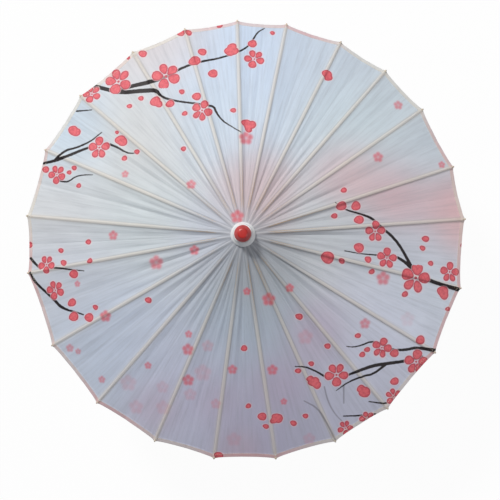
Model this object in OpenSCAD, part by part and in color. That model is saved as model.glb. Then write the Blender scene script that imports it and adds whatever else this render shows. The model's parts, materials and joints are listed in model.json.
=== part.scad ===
// Oil paper umbrella: split ribs and stretchers on two notched hubs, a printed
// canopy, a bell cap with a round knob, a turned handle and a sprung catch.
// Millimetres, +Z up along the shaft. The origin is the middle of the handle's
// flat end. The umbrella is drawn open.

/* [Overall] */
// Height of the rib pivots above the end of the handle
pivot_z = 505; // [480:1:620]
// Length of a rib from its pivot to its tip
rib_len = 426; // [340:1:520]
// Slope of the open ribs below level, in degrees
open_slope = 20; // [17:0.5:24]
// Slope of the folded ribs below level, in degrees
fold_slope = 87.3; // [86.5:0.1:87.5]

/* [Ribs] */
// Width of a rib where the stretcher is pinned
rib_w = 4.2; // [3.6:0.1:4.2]
// Width of a rib where it leaves the hub
rib_root_w = 2.8; // [2.4:0.1:2.9]
// Width of a rib at its tip
rib_tip_w = 3; // [2:0.1:4]
// Height of a rib
rib_h = 3.6; // [3:0.1:4]
// Height of a rib at its tip
rib_tip_h = 2; // [1.5:0.1:3]
// Distance along a rib at which it has reached its full width
rib_full_at = 135; // [135:1:165]
// Distance from the stretcher pin at which a rib starts to taper
rib_taper_from = 60; // [50:1:120]
// Thickness of the neck that turns in a hub notch
neck_w = 1.7; // [1.4:0.1:1.7]
// Length of that neck
neck_len = 16; // [14:1:20]
// Radius of the eye at the end of a neck
eye_r = 2.2; // [1.8:0.1:2.4]
// Distance of the thread hole from a rib's tip
tip_hole_from = 4; // [3:0.5:8]
// Radius of the thread hole
tip_hole_r = 0.6; // [0.4:0.1:0.8]

/* [Stretchers] */
// Length of a stretcher between pivots, and from a rib's pivot to its pin
link_len = 180; // [140:1:184]
// Width of a stretcher
stretcher_w = 2.5; // [2:0.1:2.6]
// Height of a stretcher
stretcher_h = 4; // [3.4:0.1:4]
// Thickness of the tongue that is pinned in a rib
tongue_w = 1.4; // [1:0.1:1.5]
// Height of that tongue
tongue_h = 3.2; // [2.6:0.1:3.4]
// Radius of a rib pin
pin_r = 0.5; // [0.4:0.05:0.6]

/* [Hubs] */
// Radius of the ring of pivots
pivot_r = 15; // [15:0.5:18]
// Wood outside the ring of pivots
hub_lip = 3; // [2.6:0.2:4]
// Wood between the pivots and a hub's open face
hub_open_h = 9; // [8:0.5:11]
// Wood between the pivots and a hub's closed face
hub_shut_h = 4.5; // [4:0.5:6]
// Width of a notch
notch_w = 2.1; // [2:0.05:2.2]
// Radius of the binding wire
wire_r = 0.55; // [0.4:0.05:0.6]
// Radius of the top hub's lower neck
hub_neck_r = 10.5; // [9.5:0.1:11]
// Length of the top hub's lower neck
hub_neck_len = 11; // [8:1:16]
// Radius of the peg that locks the top hub to the shaft
hub_peg_r = 1.2; // [0.8:0.1:1.6]
// Radius of the runner's sleeve
sleeve_r = 11; // [10:0.5:12]
// Length of the runner's sleeve below its hub
sleeve_len = 45; // [30:1:60]

/* [Shaft and handle] */
// Radius of the shaft
shaft_r = 6.5; // [5.4:0.1:7.8]
// Depth of the shaft in the knob
shaft_in_knob = 8; // [5:0.5:10]
// Length of the handle's grip
grip_len = 73; // [50:1:78]
// Radius of the grip where it is held
grip_r = 10; // [9.5:0.5:12]
// Length of the turned foot and of the flared head of the grip
grip_end_len = 14; // [13:0.5:18]
// How far the grip's foot is set in from where it is held
foot_step = 0.2; // [0.1:0.1:0.5]
// Thickness of the end button below the grip
button_h = 5; // [4:0.5:8]
// Depth of the end button's spigot in the grip
spigot_len = 5; // [3:0.5:10]
// Radius of the button's flat face
button_r = 8.5; // [7.5:0.5:9]
// Length of the ring above the grip
ring_len = 6; // [4:0.5:10]
// Radius of the ring above the grip
ring_r = 8.8; // [8.6:0.1:10]

/* [Catch and stop] */
// Length of the catch from its pin to its top
catch_len = 27.5; // [24:0.5:34]
// Width of the catch
catch_w = 2.4; // [1.8:0.1:2.6]
// How far the catch stands out of the shaft
catch_out = 3.5; // [2.5:0.1:4]
// Radius of the catch's pin
catch_pin_r = 0.8; // [0.6:0.1:1]
// Thickness of the catch's leaf spring
spring_t = 0.4; // [0.3:0.05:0.6]
// Radius of the stop peg above the runner
stop_r = 1.5; // [1:0.1:2]
// How far the stop peg stands out of the shaft
stop_out = 3; // [2:0.1:3.5]

/* [Cap and knob] */
// How far the cap's foot stands out past the hub
cap_lip = 3.5; // [3:0.1:5]
// Radius of the cap's top
cap_top_r = 15; // [13:0.5:19]
// Height of the cap above the pivots
cap_h = 22; // [16:0.5:30]
// Radius of the knob
knob_r = 14.5; // [12:0.5:17]
// Radius of the knob's foot
knob_foot_r = 10.5; // [8.5:0.5:12]
// Height of the knob
knob_h = 17; // [13:0.5:24]

/* [Canopy] */
// Thickness of the canopy
cloth_t = 0.8; // [0.5:0.1:1.2]
// How far the canopy's edge passes the rib tips
rim_out = 1.2; // [0:0.2:4]
// How far the edge curves in between two ribs
scallop = 7; // [0:0.5:12]
// How far the cloth dips between two ribs
sag = 3; // [0:0.5:5]

/* [Clearances] */
// Gap round a piece that is glued or pegged in place
seat_gap = 0.05; // [0.02:0.01:0.08]
// Gap round a pin that turns
pin_gap = 0.08; // [0.05:0.01:0.1]
// Gap between the wire and the eyes threaded on it
wire_gap = 0.2; // [0.15:0.01:0.25]
// Gap between the runner and the shaft
slide_gap = 0.25; // [0.2:0.05:0.4]
// Gap on each side of a tongue in its slit and of the catch in its slot
side_gap = 0.25; // [0.2:0.05:0.3]
// Gap between the ribs and the canopy that is drawn over them
cloth_gap = 0.3; // [0.25:0.05:0.5]
// Gap between pieces that rest on each other when the umbrella is open
rest_gap = 0.3; // [0.2:0.05:0.5]

/* [Hidden] */
$fn = 64;
eps = 0.01;
over = 1; // how far a cut runs past the face it opens

// The hubs are notched by hand, so the ribs don't stand quite evenly. Their
// directions are in whole degrees, clockwise from +Y.
rib_azimuths = [
    11, 26, 40, 54, 71, 85, 103, 121, 140, 156, 172,
    188, 204, 222, 241, 261, 276, 294, 311, 329, 344, 358
];
rib_count = len(rib_azimuths);

runner_z = pivot_z - 2 * link_len * sin(open_slope); // pivots of the runner
hub_r = pivot_r + hub_lip;
cap_r = hub_r + cap_lip;
notch_in = pivot_r - eye_r - 1.3; // bottom of a notch
notch_head = eye_r + 1; // end of a notch beyond the pivots
groove_h = 2 * (wire_r + 0.1);

shaft_from = button_h + spigot_len + seat_gap;
shaft_to = pivot_z + cap_h + shaft_in_knob;
grip_top = button_h + grip_len;
bore_r = shaft_r + seat_gap;

// The folded stretcher lies at this angle to its rib, and the slit and the
// tongue are long enough for it.
nip = 2 * (90 - fold_slope);
slit_w = tongue_w + 2 * side_gap;
slit_in = (rib_h + tongue_h) / 2 / sin(2 * open_slope) + 3.5;
slit_out = (rib_h + tongue_h) / 2 / sin(nip) + 5;
tongue_len = (rib_h + stretcher_h) / 2 / sin(nip) + 5;

catch_top = runner_z - hub_shut_h - sleeve_len - rest_gap;
catch_z = catch_top - catch_len; // pin of the catch
catch_slot_w = catch_w + 2 * side_gap;
catch_back = -shaft_r + 1.9; // back wall of the catch's slot
stop_z = runner_z + hub_open_h + rest_gap + stop_r;
hub_peg_z = pivot_z - hub_open_h - hub_neck_len / 2;

cloth_in = hub_r + 0.6; // radius of the canopy's hole
cloth_rise = (rib_h / 2 + cloth_gap) / cos(open_slope);
cloth_tall = cloth_t / cos(open_slope);
rim_r = pivot_r + (rib_len + rim_out) * cos(open_slope);
gore_steps = 6;
ring_steps = 10;

function two_digits(n) = n < 10 ? str("0", n) : str(n);
function rib_name(k) = str("rib_", two_digits(k));
function stretcher_name(k) = str("stretcher_", two_digits(k));

// Turn of rib k from +X, anticlockwise, and the gap from it to rib k - 1.
function rib_turn(k) = 90 - rib_azimuths[(k + rib_count - 1) % rib_count];
function rib_gap(k) = (rib_turn(k + rib_count - 1) - rib_turn(k) + 360) % 360;

// Height of the canopy's lower face over a rib, at radius r.
function cloth_z(r) = pivot_z + cloth_rise - (r - pivot_r) * tan(open_slope);

// A point of the canopy in the gore before rib k. t runs from 0 at rib k to 1 at
// rib k - 1, r is the radius at which the level line through it meets the ribs.
function cloth_point(k, t, r) =
    let (
        turn = rib_turn(k),
        gap = rib_gap(k),
        dip = pow(sin(180 * t), 2),
        out = (r - cloth_in) / (rim_r - cloth_in),
        flat = r * cos(gap / 2) / cos(gap * (t - 0.5)),
        pulled = flat - scallop * dip * pow(out, 6)
    )
    [
        pulled * cos(turn + gap * t),
        pulled * sin(turn + gap * t),
        cloth_z(r) - sag * dip * out * (1.6 - out)
    ];

// Puts a rib that is drawn along +X from its pivot in its open place.
module at_rib(k) {
    rotate([0, 0, rib_turn(k)])
        translate([pivot_r, 0, pivot_z])
            rotate([0, open_slope, 0])
                children();
}

// Puts a stretcher that is drawn along +X from the runner in its open place.
module at_stretcher(k) {
    rotate([0, 0, rib_turn(k)])
        translate([pivot_r, 0, runner_z])
            rotate([0, -open_slope, 0])
                children();
}

// A round bar across a rib or stretcher, at distance x along it.
module cross_bar(x, r, length) {
    translate([x, 0, 0])
        rotate([90, 0, 0])
            cylinder(h = length, r = r, center = true, $fn = 32);
}

// A strip between x0 and x1, as thick as w.
module strip(x0, x1, w, h) {
    translate([x0, -w / 2, -h / 2])
        cube([x1 - x0, w, h]);
}

// The neck and eye that turn in a hub notch.
module neck() {
    cross_bar(0, eye_r, neck_w);
    strip(0, neck_len + eps, neck_w, min(rib_h, stretcher_h, 2 * eye_r) - 0.4);
}

// Outline of a rib from above.
module rib_plan() {
    taper = link_len + rib_taper_from;
    polygon([
        [neck_len, -rib_root_w / 2], [rib_full_at, -rib_w / 2], [taper, -rib_w / 2],
        [rib_len - 1, -rib_tip_w / 2], [rib_len, -rib_tip_w / 2 + 0.8],
        [rib_len, rib_tip_w / 2 - 0.8], [rib_len - 1, rib_tip_w / 2],
        [taper, rib_w / 2], [rib_full_at, rib_w / 2], [neck_len, rib_root_w / 2]
    ]);
}

// Outline of a rib from the side. Its back is straight and its belly tapers.
module rib_side() {
    taper = link_len + rib_taper_from;
    polygon([
        [neck_len - 1.5, -rib_h / 2 + 1], [neck_len + 1, -rib_h / 2],
        [taper, -rib_h / 2], [rib_len, rib_h / 2 - rib_tip_h],
        [rib_len + over, rib_h / 2 - rib_tip_h], [rib_len + over, rib_h / 2],
        [neck_len + 1, rib_h / 2], [neck_len - 1.5, rib_h / 2 - 1]
    ]);
}

module rib_body() {
    intersection() {
        linear_extrude(height = rib_h, center = true) rib_plan();
        rotate([90, 0, 0])
            linear_extrude(height = rib_w + over, center = true) rib_side();
    }
}

module rib(k) {
    color("burlywood") at_rib(k) {
        difference() {
            union() {
                neck();
                rib_body();
            }
            cross_bar(0, wire_r + wire_gap, neck_w + over);
            strip(link_len - slit_in, link_len + slit_out, slit_w, rib_h + over);
            cross_bar(link_len, pin_r + seat_gap / 2, rib_w + over);
            cross_bar(rib_len - tip_hole_from, tip_hole_r, rib_w);
        }
        cross_bar(link_len, pin_r, rib_w);
    }
}

module stretcher(k) {
    tongue_from = link_len - tongue_len;
    color("tan") at_stretcher(k) difference() {
        union() {
            neck();
            strip(neck_len, tongue_from, stretcher_w, stretcher_h);
            strip(tongue_from - eps, link_len, tongue_w, tongue_h);
            cross_bar(link_len, tongue_h / 2, tongue_w);
        }
        cross_bar(0, wire_r + wire_gap, neck_w + over);
        cross_bar(link_len, pin_r + pin_gap, tongue_w + over);
    }
}

// A notched hub about its ring of pivots. Its notches open outwards and down.
module notched_hub() {
    difference() {
        translate([0, 0, -hub_open_h])
            cylinder(h = hub_open_h + hub_shut_h, r = hub_r, $fn = 96);
        for (k = [1 : rib_count])
            rotate([0, 0, rib_turn(k)])
                translate([notch_in, -notch_w / 2, -hub_open_h - over])
                    cube([hub_r, notch_w, hub_open_h + over + notch_head]);
        rotate_extrude($fn = 96)
            translate([pivot_r - groove_h / 2, -groove_h / 2])
                square([hub_r, groove_h]);
    }
}

// The wire that threads the eyes of a hub's ribs, in its groove.
module hub_ring() {
    rotate_extrude($fn = 96)
        translate([pivot_r, 0])
            circle(r = wire_r, $fn = 24);
}

module top_hub() {
    color("saddlebrown") translate([0, 0, pivot_z]) difference() {
        union() {
            notched_hub();
            translate([0, 0, -hub_open_h - hub_neck_len])
                cylinder(h = hub_neck_len + eps, r = hub_neck_r);
        }
        translate([0, 0, -hub_open_h - hub_neck_len - over])
            cylinder(h = hub_open_h + hub_neck_len + hub_shut_h + 2 * over, r = bore_r);
        translate([0, 0, hub_peg_z - pivot_z])
            cross_bar(0, hub_peg_r + seat_gap, 3 * hub_neck_r);
    }
}

module hub_wire() {
    color("dimgray") translate([0, 0, pivot_z]) hub_ring();
}

module hub_peg() {
    color("peru") translate([0, 0, hub_peg_z])
        cross_bar(0, hub_peg_r, 2 * hub_neck_r);
}

module runner() {
    sleeve_from = -hub_shut_h - sleeve_len;
    color("saddlebrown") translate([0, 0, runner_z]) difference() {
        union() {
            mirror([0, 0, 1]) notched_hub();
            translate([0, 0, sleeve_from])
                cylinder(h = sleeve_len + eps, r = sleeve_r);
            translate([0, 0, sleeve_from])
                cylinder(h = 4, r = sleeve_r + 0.8);
        }
        translate([0, 0, sleeve_from - over])
            cylinder(h = sleeve_len + hub_shut_h + hub_open_h + 2 * over,
                r = shaft_r + slide_gap);
    }
}

module runner_wire() {
    color("dimgray") translate([0, 0, runner_z]) hub_ring();
}

module shaft() {
    color("tan") difference() {
        translate([0, 0, shaft_from])
            cylinder(h = shaft_to - shaft_from, r = shaft_r);
        translate([catch_back, -catch_slot_w / 2, catch_z - 5])
            cube([2 * shaft_r, catch_slot_w, catch_len + 9]);
        translate([0, 0, catch_z])
            cross_bar(0, catch_pin_r + seat_gap / 2, 3 * shaft_r);
        translate([0, 0, stop_z])
            cross_bar(0, stop_r + seat_gap, 3 * shaft_r);
        translate([0, 0, hub_peg_z])
            cross_bar(0, hub_peg_r + seat_gap, 3 * shaft_r);
    }
}

module stop_peg() {
    color("peru") translate([0, 0, stop_z])
        cross_bar(0, stop_r, 2 * (shaft_r + stop_out));
}

// The catch is a wedge on a pin. Its top holds the runner's sleeve up.
module catch() {
    tip = shaft_r + catch_out;
    color("goldenrod") translate([0, 0, catch_z]) difference() {
        union() {
            cross_bar(0, 2.6, catch_w);
            rotate([90, 0, 0])
                linear_extrude(height = catch_w, center = true)
                    polygon([
                        [-2.3, 1.2], [2.4, -1], [tip - 1.2, catch_len - 6],
                        [tip, catch_len - 3], [tip, catch_len],
                        [tip - 5.5, catch_len], [tip - 6.5, catch_len - 1.5]
                    ]);
        }
        cross_bar(0, catch_pin_r + pin_gap, catch_w + over);
    }
}

module catch_pin() {
    color("dimgray") translate([0, 0, catch_z])
        cross_bar(0, catch_pin_r, 2 * shaft_r - 1);
}

// A bent strip that stands on the back wall of the slot and bears on the catch.
module catch_spring() {
    foot = catch_back + 0.1;
    back = [[foot, 5], [foot, 11], [foot + 4.2, 17.5], [foot + 5, 20]];
    color("silver") translate([0, 0, catch_z]) rotate([90, 0, 0])
        linear_extrude(height = catch_w, center = true)
            polygon(concat(
                back,
                [for (i = [3 : -1 : 0]) back[i] + [spring_t, i > 1 ? -0.2 : 0]]
            ));
}

// Turned profiles, as points of radius and height from the lower end.
function arc(cx, cz, rx, rz, a0, a1, n) =
    [for (i = [0 : n]) let (a = a0 + (a1 - a0) * i / n)
        [cx + rx * cos(a), cz + rz * sin(a)]];

module grip() {
    foot_r = grip_r - foot_step;
    groove = 1.2;
    flare = 1.2;
    color("sienna") translate([0, 0, button_h]) difference() {
        rotate_extrude($fn = 96)
            polygon(concat(
                [[0, 0]],
                arc(foot_r - 1, 1, 1, 1, -90, 0, 4),
                arc(foot_r, 9, -groove, 2, -90, 90, 8),
                [[foot_r, grip_end_len - 0.6], [grip_r, grip_end_len]],
                [[grip_r, grip_len - grip_end_len]],
                arc(grip_r, grip_len - 5, flare, 5, -60, 60, 6),
                [[grip_r - 1, grip_len], [0, grip_len]]
            ));
        translate([0, 0, -over])
            cylinder(h = grip_len + 2 * over, r = bore_r);
    }
}

module grip_ring() {
    color("goldenrod") translate([0, 0, grip_top]) difference() {
        rotate_extrude($fn = 96)
            polygon(concat(
                [[0, 0], [ring_r - 0.6, 0]],
                arc(ring_r - 0.8, ring_len / 2, 0.8, ring_len / 2 - 0.4, -70, 70, 6),
                [[ring_r - 0.8, ring_len], [0, ring_len]]
            ));
        translate([0, 0, -over])
            cylinder(h = ring_len + 2 * over, r = bore_r);
    }
}

module end_button() {
    wide = grip_r - foot_step - 0.3;
    color("sienna") {
        rotate_extrude($fn = 96)
            polygon([
                [0, 0], [button_r - 0.8, 0], [button_r, 0.8],
                [wide, button_h - 1.2], [wide, button_h - seat_gap],
                [shaft_r, button_h - seat_gap], [shaft_r, button_h + spigot_len],
                [0, button_h + spigot_len]
            ]);
    }
}

// The bell cap: its foot follows the canopy, and a counterbore clears the hub.
module cap() {
    lift = cloth_tall + 0.1;
    inner = hub_r + 0.3;
    foot = 3;
    color("white") difference() {
        rotate_extrude($fn = 96)
            polygon(concat(
                [
                    [bore_r, cloth_z(inner) + lift],
                    [inner, cloth_z(inner) + lift],
                    [cap_r, cloth_z(cap_r) + lift],
                    [cap_r, cloth_z(cap_r) + lift + foot]
                ],
                arc(cap_r + 1, pivot_z + cap_h - 2, cap_r + 1 - cap_top_r,
                    cap_h - 2 - foot - 1, 250, 180, 8),
                [[cap_top_r - 0.6, pivot_z + cap_h], [bore_r, pivot_z + cap_h]]
            ));
        translate([0, 0, pivot_z - hub_open_h])
            cylinder(h = hub_open_h + hub_shut_h + seat_gap, r = hub_r + 0.2, $fn = 96);
    }
}

// The knob is a low dome on a narrower foot, bored for the top of the shaft.
module knob() {
    belly = knob_h * 0.4;
    color("firebrick") translate([0, 0, pivot_z + cap_h + seat_gap]) difference() {
        rotate_extrude($fn = 96)
            polygon(concat(
                [[0, 0], [knob_foot_r, 0]],
                arc(0, belly, knob_r, belly - 0.8, -40, 0, 4),
                arc(0, belly, knob_r, knob_h - belly, 6, 90, 14)
            ));
        translate([0, 0, -over])
            cylinder(h = shaft_in_knob + over, r = bore_r);
    }
}

// The canopy: one closed skin over all the ribs, hemmed in a curve between them.
module canopy() {
    around = rib_count * gore_steps;
    radii = [
        for (j = [0 : ring_steps]) cloth_in + (rim_r - cloth_in) * j / ring_steps
    ];
    low = [
        for (r = radii) for (i = [0 : around - 1])
            cloth_point(rib_count - floor(i / gore_steps),
                (i % gore_steps) / gore_steps, r)
    ];
    high = [for (p = low) p + [0, 0, cloth_tall]];
    size = len(low);
    function at(j, i) = j * around + i % around;
    color("lightsteelblue") polyhedron(
        points = concat(low, high),
        faces = concat(
            [
                for (j = [0 : ring_steps - 1]) for (i = [0 : around - 1])
                    each [
                        [at(j, i), at(j, i + 1), at(j + 1, i + 1)],
                        [at(j, i), at(j + 1, i + 1), at(j + 1, i)],
                        [size + at(j, i), size + at(j + 1, i + 1), size + at(j, i + 1)],
                        [size + at(j, i), size + at(j + 1, i), size + at(j + 1, i + 1)]
                    ]
            ],
            [
                for (i = [0 : around - 1])
                    each [
                        [at(0, i), size + at(0, i + 1), at(0, i + 1)],
                        [at(0, i), size + at(0, i), size + at(0, i + 1)],
                        [at(ring_steps, i), at(ring_steps, i + 1),
                            size + at(ring_steps, i + 1)],
                        [at(ring_steps, i), size + at(ring_steps, i + 1),
                            size + at(ring_steps, i)]
                    ]
            ]
        )
    );
}

for (k = [1 : rib_count]) {
    rib(k);
    stretcher(k);
}
shaft();
grip();
grip_ring();
end_button();
top_hub();
hub_wire();
hub_peg();
runner();
runner_wire();
stop_peg();
catch();
catch_pin();
catch_spring();
canopy();
cap();
knob();
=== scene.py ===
# %% [markdown]
# # An oil paper umbrella, part by part
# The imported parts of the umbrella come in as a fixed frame, in metres, with
# +Z up the shaft. Every step below adds one finish or one piece to that frame.
# What holds weight or turns keeps its shape from the frame. The cloth, the
# threads and the turned pieces that are seen closely are made here.

# %% Load the frame
import json
import math

import bmesh
import bpy
import numpy as np
from mathutils import Matrix, Vector


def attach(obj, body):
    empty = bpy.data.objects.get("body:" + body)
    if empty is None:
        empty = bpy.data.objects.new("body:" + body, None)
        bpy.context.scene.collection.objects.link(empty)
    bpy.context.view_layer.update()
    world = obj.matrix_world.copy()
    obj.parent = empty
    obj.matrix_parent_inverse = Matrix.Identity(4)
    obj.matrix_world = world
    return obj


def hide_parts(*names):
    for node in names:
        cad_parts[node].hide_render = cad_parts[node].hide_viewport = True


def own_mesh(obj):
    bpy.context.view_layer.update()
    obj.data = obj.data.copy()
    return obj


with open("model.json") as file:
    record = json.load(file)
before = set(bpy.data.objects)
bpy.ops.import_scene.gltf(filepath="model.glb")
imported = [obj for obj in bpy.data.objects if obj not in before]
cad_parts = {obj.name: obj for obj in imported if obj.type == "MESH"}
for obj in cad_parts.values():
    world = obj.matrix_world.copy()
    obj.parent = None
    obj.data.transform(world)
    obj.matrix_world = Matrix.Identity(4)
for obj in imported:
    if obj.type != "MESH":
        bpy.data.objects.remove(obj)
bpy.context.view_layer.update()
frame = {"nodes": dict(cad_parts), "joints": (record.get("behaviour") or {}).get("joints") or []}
MM = 0.001

# %% [markdown]
# ## Where the ribs are
# Each rib turns about a pin at the hub. The frame's list of joints says where
# each pin is and which way it points, so the ribs' directions are read from
# it and nothing about them has to be typed again.

# %% Read the ribs' directions
PIVOT_R, PIVOT_Z = 15.0, 505.0   # ring of pivots, mm
RIB_LEN, LINK = 426.0, 180.0     # rib, and the distance to its stretcher, mm
SLOPE = math.radians(20)         # ribs below level
ribs = []
for joint in frame["joints"]:
    if joint["name"].startswith("rib_"):
        tx, ty, _ = joint["axis"]
        ribs.append({
            "body": joint["child"], "joint": joint["name"],
            "number": joint["child"][-2:], "turn": math.atan2(-tx, ty),
        })
ribs.sort(key=lambda rib: rib["number"])
for rib, ccw in zip(ribs, ribs[-1:] + ribs[:-1]):
    rib["gap"] = (ccw["turn"] - rib["turn"]) % (2 * math.pi)  # to the next rib, anticlockwise
    rib["next"] = ccw
print(len(ribs), "ribs; gaps", [round(math.degrees(rib["gap"])) for rib in ribs])

# %% [markdown]
# ## Helpers for meshes
# All pieces are made from lists of points, in millimetres, and turned to
# metres as the mesh is made. The object stays at the origin, so that patterns
# on Object coordinates sit still, and the place is in the mesh.

# %% Make an object from points and faces
def new_piece(name, points, faces, smooth=True):
    mesh = bpy.data.meshes.new(name)
    mesh.from_pydata((np.asarray(points, float) * MM).tolist(), [], faces)
    mesh.validate()
    if smooth:
        mesh.shade_smooth()
    piece = bpy.data.objects.new(name, mesh)
    bpy.context.scene.collection.objects.link(piece)
    return piece


def grid_faces(rows, columns, flip=False):
    """Quads of a grid of points that is stored row by row."""
    a = (np.arange(rows - 1)[:, None] * columns + np.arange(columns - 1)).ravel()
    quads = np.stack([a, a + columns, a + columns + 1, a + 1], 1)
    return (quads[:, ::-1] if flip else quads).tolist()


def set_values(piece, name, values):
    """One number for each point of the mesh, for a material to read."""
    layer = piece.data.attributes.new(name, "FLOAT", "POINT")
    layer.data.foreach_set("value", np.asarray(values, np.float32).ravel())


def set_colours(piece, name, values):
    """One colour for each point of the mesh, for a material to read."""
    values = np.asarray(values, np.float32).reshape(-1, 3)
    rgba = np.concatenate([values, np.ones((len(values), 1), np.float32)], 1)
    layer = piece.data.attributes.new(name, "FLOAT_COLOR", "POINT")
    layer.data.foreach_set("color", rgba.ravel())

# %% [markdown]
# ## The cloth's shape
# The cloth is drawn tight over the ribs. Between two ribs it is nearly flat,
# dips a little, and its edge is cut in a shallow curve. A narrow ridge stands
# over each rib because the rib lifts the cloth. The cloth is given as one
# surface: a point is found from a rib, a radius r and a share w, which runs
# from -1 at that rib to +1 at its anticlockwise neighbour. Since every panel
# is cut from this one surface, the seams between them can't be seen.

# %% The surface over one gore
CLOTH_IN, RIM_OUT, SCALLOP, SAG = 18.6, 1.2, 5.0, 3.2
RIM_R = PIVOT_R + (RIB_LEN + RIM_OUT) * math.cos(SLOPE)
RISE = (3.6 / 2 + 0.3) / math.cos(SLOPE)
creases = np.random.default_rng(11)
for rib in ribs:
    rib["fold_at"] = creases.uniform(-0.12, 0.12)      # main crease, as a share w
    rib["fold_deep"] = creases.uniform(0.7, 1.7)
    rib["side_folds"] = [
        (creases.uniform(-0.75, -0.3), creases.uniform(-0.9, 1.1)),
        (creases.uniform(0.3, 0.75), creases.uniform(-0.9, 1.1)),
    ]
    rib["waves"] = creases.uniform(0, 2 * math.pi, 4)
    rib["pull"] = creases.uniform(0.7, 1.3)
    rib["step"] = creases.uniform(0.0, 1.2)
for number in (5, 6, 7, 8):
    ribs[number - 1]["step"] = 2.8                     # the cloth hangs lower beside these


def ridge_half(r):
    """Half the width of the cloth that lies flat on a rib, at radius r."""
    along = (r - PIVOT_R) / math.cos(SLOPE)
    return np.interp(along, [0, 16, 135, 240, 426], [1.4, 1.6, 2.2, 2.2, 1.8]) + 0.1


def smooth_step(x, low, high):
    t = np.clip((x - low) / (high - low), 0, 1)
    return t * t * (3 - 2 * t)


def span_of(r):
    """Creases and steps begin a little outside the hub."""
    return smooth_step(r, 30, 110)


def gore_point(rib, r, w):
    """Points of the cloth between a rib and its anticlockwise neighbour, mm."""
    half = rib["gap"] / 2
    middle = rib["turn"] + half
    m = np.array([math.cos(middle), math.sin(middle)])
    p = np.array([-m[1], m[0]])
    out = (r - CLOTH_IN) / (RIM_R - CLOTH_IN)
    cut = np.maximum(np.cos(w * math.pi / 2) ** 2, 0) ** 0.12   # the edge is cut in just beside each tip
    plan = np.multiply.outer(r * math.cos(half), m) + np.multiply.outer(r * w * math.sin(half), p)
    length = np.maximum(np.linalg.norm(plan, axis=-1), 1)
    plan = plan * (1 - SCALLOP * cut * out ** 8 / length)[..., None]
    beside = (1 - np.abs(w)) * r * math.sin(half) - ridge_half(r)   # mm from the ridge
    lift = 0.9 - 0.5 * smooth_step(r, 26, 60)
    z = PIVOT_Z + RISE + lift - (r - PIVOT_R) * math.tan(SLOPE)
    trough = 1 - np.abs(w) ** 1.7
    z = z - SAG * trough * smooth_step(r, 18, 66) * (1.15 - 0.35 * out) * rib["pull"]
    drop = 1.3 * smooth_step(r, 24, 110)
    z = z - drop * (1 - np.exp(-np.maximum(beside, 0) / 1.6))
    inner = np.clip(beside / 6, 0, 1)                      # creases end at the ridge
    fold_w = 2.2 / np.maximum(r * math.sin(half), 1)       # sharpness of a crease, as a share
    span = span_of(r)
    z = z - inner * span * rib["fold_deep"] * np.exp(-np.abs(w - rib["fold_at"]) / (2.2 * fold_w))
    for at, deep in rib["side_folds"]:
        z = z - inner * span * deep * np.exp(-np.abs(w - at) / (1.6 * fold_w))
    after = 0.5 * (1 + np.sign(w)) * rib["next"]["step"]      # on the clockwise side of the next rib
    away = np.maximum(beside, 0)
    z = z - after * span_of(r) * (1 - np.exp(-away / 2.5)) * np.exp(-away / 16)
    puck = 0.0045 * r * smooth_step(r, 20, 45) * (1 - smooth_step(r, 110, 300))
    a, b, c, d = rib["waves"]
    z = z + inner * puck * (np.sin(7.5 * w + a) + 0.7 * np.sin(13 * w + b + r / 60))
    z = z + inner * 0.55 * span * np.sin(5 * w + c + r / 38) * np.sin(r / 30 + d)
    z = z + inner * 0.3 * np.exp(-((r - 180) / 90) ** 2) * np.sin(11 * w + d + r / 38)
    return np.concatenate([plan, z[..., None]], -1)


print("cloth from radius", CLOTH_IN, "to", round(RIM_R, 1), "mm")

# %% [markdown]
# ## The print
# The cloth is printed with dark, angular branches and pink blossom. A shader
# can't easily draw a branch that wanders, so the print is laid out here in
# millimetres on the plan, and every point of the cloth is given its distance
# to the nearest branch and the nearest petal. The material then inks what is
# nearer than zero, which keeps the outlines sharp between the points.

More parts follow.
